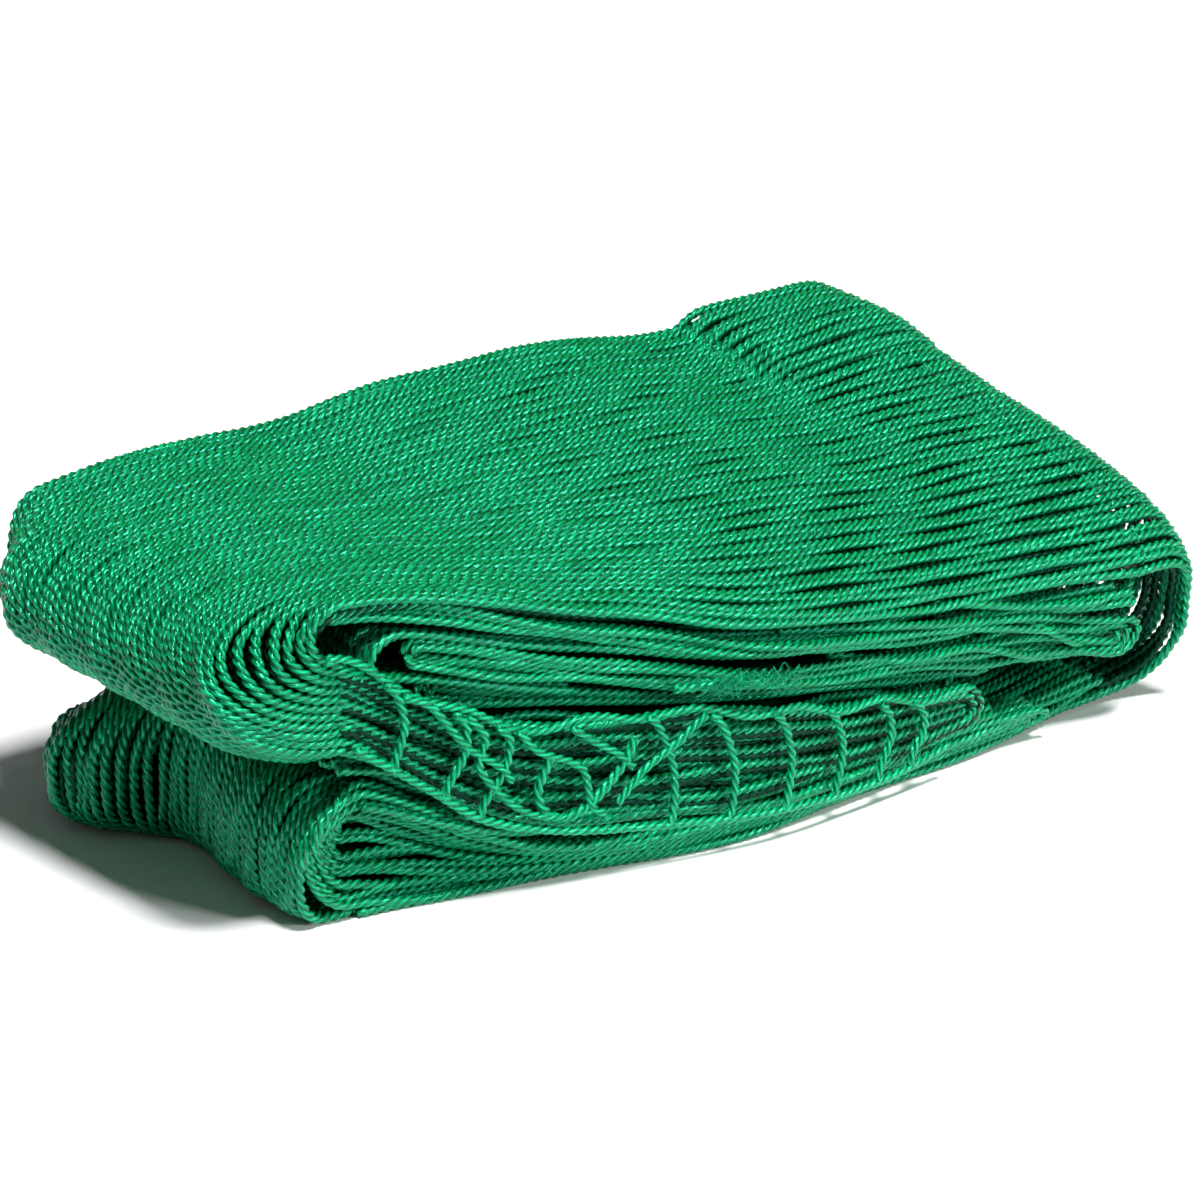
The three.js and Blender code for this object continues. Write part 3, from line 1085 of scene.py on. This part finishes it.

# %% [markdown]
# ## Slack meshes
# At the left of the selvedge the meshes aren't pulled shut: a few mesh sides wander over the face,
# and one hangs out as a loop. That loop moves on its own, so it hangs on a body of its own. It
# shows from end to end, and both of its ends go back into the selvedge.

# %% Slack twines and the hanging loop
CROSSING = [
    [(-116, 66), (-108, 62), (-98, 49), (-88, 41), (-84, 36)],
    [(-97, 57), (-92, 50), (-94, 42), (-86, 31), (-78, 25), (-68, 22)],
    [(-82, 50), (-76, 43), (-66, 38), (-62, 34), (-60, 24), (-56, 21)],
    [(-66, 48), (-58, 42), (-52, 38), (-47, 33)],
    [(-52, 23), (-44, 31), (-34, 37), (-24, 44)],
]
LOOP_SPOTS = [(-72, 41), (-76, 31), (-73, 24), (-66, 22), (-58, 26), (-50, 34), (-46, 41)]
crossing = [through(on_face(spots, 3.6)) for spots in CROSSING]
twines("slack_twines", crossing, "upper_packet", SINGLE, scale=0.8)
slack = through(on_face(LOOP_SPOTS))
loop_piece = twines(
    "slack_mesh", [slack], "loose_loop", SINGLE, nodes=["loose_loop"]
)

# %% [markdown]
# ## Dark filling
# Between the twines one looks into the plies below. A soft dark body, just inside the laps, stands
# for the many plies that never show; its dark colour is painted shade.

# %% Material of the filling, a copy of the twine in painted shade
FILLING_SHADE = twine_material(
    "laid_polyethylene_in_shadow", "#001f0d", "#002d15", "#003f20", gleam=0.0
)


# %% A filling body: a finely cut box, bent to the laps
def filling(name, low, high, x0, x1, v0, body, corner=0.0):
    bm = bmesh.new()
    bmesh.ops.create_cube(bm, size=1.0)
    for axis, cuts in ((0, 48), (1, 24)):
        edges = [e for e in bm.edges if abs(e.verts[0].co[axis] - e.verts[1].co[axis]) > 0.5]
        bmesh.ops.subdivide_edges(bm, edges=edges, cuts=cuts, use_grid_fill=True)
    for vert in bm.verts:
        x = lerp(x0, x1, vert.co.x + 0.5)
        v = lerp(v0, 0.97, (vert.co.y + 0.5) ** 1.7)
        top = float(high(x, v)) - corner * float(smooth((v - 0.6) / 0.36) * smooth((-84 - x) / 40))
        z = lerp(float(low(x, v)), top, vert.co.z + 0.5)
        vert.co = Vector(((np.array([x, float(depth(x, v)), z]) + SHIFT) / 1000).tolist())
    bmesh.ops.recalc_face_normals(bm, faces=bm.faces)
    mesh = bpy.data.meshes.new(name)
    bm.to_mesh(mesh)
    bm.free()
    count = len(mesh.vertices)
    laid = np.zeros(count * 3, np.float32)
    mesh.vertices.foreach_get("co", laid)
    attribute = mesh.attributes.new("laid", "FLOAT_VECTOR", "POINT")
    attribute.data.foreach_set("vector", laid * 1000)
    # The crown value of 0.3 darkens the filling's colour further, as painted shade.
    attribute = mesh.attributes.new("crown", "FLOAT", "POINT")
    attribute.data.foreach_set("value", np.full(count, 0.3, np.float32))
    mesh.materials.append(FILLING_SHADE)
    piece = bpy.data.objects.new(name, mesh)
    bpy.context.scene.collection.objects.link(piece)
    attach(piece, body)
    print(name, len(mesh.polygons), "faces")


def off(name, shift):
    return lambda x, v: level(name, x, v) + shift


# %% Five fillings, each between two laps
UPPER_FILLINGS = [
    ("filling_top", ("mouth", 1.5), ("top", -6.5), LEFT, 143, 0.08),
    ("filling_inner", ("middle_lap", 1.5), ("inner_upper", -2.5), -104, 88, 0.13),
    ("filling_inner_right", ("inner_lower", 3.4), ("inner_upper", -2.5), 86, 136, 0.12),
    ("filling_middle", ("lower_lap", 3.6), ("middle_lap", -1), LEFT, 80, 0.13),
]
for name, low, high, x0, x1, v0 in UPPER_FILLINGS:
    filling(name, off(*low), off(*high), x0, x1, v0, "upper_packet")
low_body = off("floor", 3.6), off("lower_lap", -4.0), LOW_LEFT, 92, 0.16, "lower_packet"
filling("filling_low", *low_body, corner=20)

# %% [markdown]
# ## Floor, light and camera
# A plain pale floor, one big soft light high above and a little in front, and a small soft light
# low in front, a little to the right. The small one lifts the front face and gives the twines their
# glints. The camera looks down at the rolled end and the selvedge.

# %% Floor
flat = bmesh.new()
bmesh.ops.create_grid(flat, x_segments=1, y_segments=1, size=6.0)
floor_mesh = bpy.data.meshes.new("floor")
flat.to_mesh(floor_mesh)
flat.free()
floor = bpy.data.objects.new("floor", floor_mesh)
paper = bpy.data.materials.new("matt_pale_paper")
paper.use_nodes = True
paper_surface = paper.node_tree.nodes["Principled BSDF"]
paper_surface.inputs["Base Color"].default_value = srgb("#f4f4f4")
paper_surface.inputs["Roughness"].default_value = 0.9
floor.data.materials.append(paper)
bpy.context.scene.collection.objects.link(floor)
print("floor: 12 m square")

# %% Lights, in metres and watts
AIM_POINT = (0, 0, 0.05)


def softbox(name, place, size, power):
    light = bpy.data.lights.new(name, "AREA")
    light.shape, light.size, light.energy = "SQUARE", size, power
    holder = bpy.data.objects.new(name, light)
    holder.location = place
    direction = Vector(AIM_POINT) - Vector(place)
    holder.rotation_euler = direction.to_track_quat("-Z", "Y").to_euler()
    bpy.context.scene.collection.objects.link(holder)
    print(name, power, "W")


softbox("key_softbox", (-0.1, -1.15, 3.35), 0.8, 204)
softbox("front_softbox", (0.7, -2.3, 0.9), 0.4, 38)
world = bpy.data.worlds.new("pale_room")
world.use_nodes = True
world.node_tree.nodes["Background"].inputs["Color"].default_value = (1, 1, 1, 1)
world.node_tree.nodes["Background"].inputs["Strength"].default_value = 0.1
bpy.context.scene.world = world

# %% Camera
AIM = (np.array([4.0, -3.0, 49.0]) + SHIFT) / 1000
FRAME_WIDTH = 1.2 / 3.4  # metres across the picture at the bundle
turn, rise, distance = math.radians(39), math.radians(19.5), 1.3
direction = np.array(
    [-math.sin(turn) * math.cos(rise), -math.cos(turn) * math.cos(rise), math.sin(rise)]
)
camera = bpy.data.cameras.new("camera")
camera.lens, camera.sensor_width = 36 * distance / FRAME_WIDTH, 36
camera_object = bpy.data.objects.new("camera", camera)
camera_object.location = Vector((AIM + direction * distance).tolist())
look = Vector((-direction).tolist())
camera_object.rotation_euler = look.to_track_quat("-Z", "Y").to_euler()
bpy.context.scene.collection.objects.link(camera_object)
bpy.context.scene.camera = camera_object
bpy.context.scene.view_settings.view_transform = "Standard"
print("lens, mm:", round(camera.lens, 1))

# %% Clear up the sections
for shape in (FINE, COARSE):
    bpy.data.objects.remove(shape)
